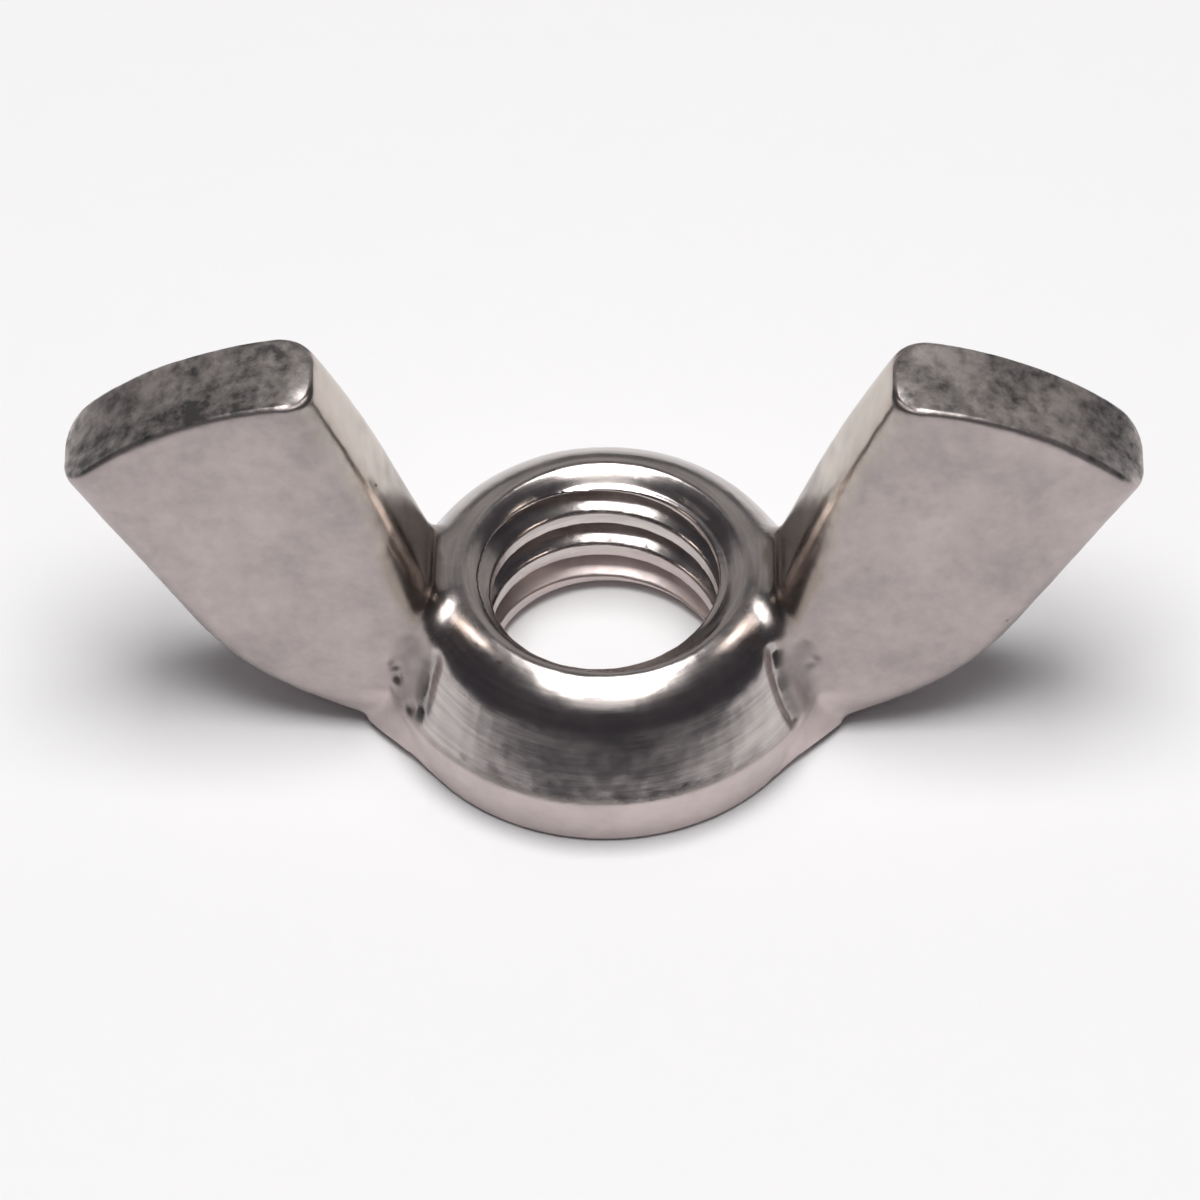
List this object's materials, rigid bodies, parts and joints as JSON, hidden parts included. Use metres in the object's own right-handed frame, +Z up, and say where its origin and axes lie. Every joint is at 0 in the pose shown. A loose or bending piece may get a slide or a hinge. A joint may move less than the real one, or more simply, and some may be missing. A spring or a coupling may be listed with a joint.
{
  "type": "wing nut",
  "caption": "Forged wing nut: a domed, threaded round hub with two raised flat wings for turning by hand.",
  "frame": {"origin": "centre of the threaded hole on the flat bearing face under the hub", "axes": "+Z up the threaded hole from the bearing face towards the wing tips, +X along the spread of the wings, +Y across the thickness of the wings"},
  "size_m": [0.031, 0.0132, 0.0131],
  "materials": {
    "forged_steel": "tumbled cold-forged stainless steel, satin on the wings and smoother on the dome"
  },
  "bodies": {
    "root": {"wing_nut": "forged_steel"}
  },
  "joints": []
}
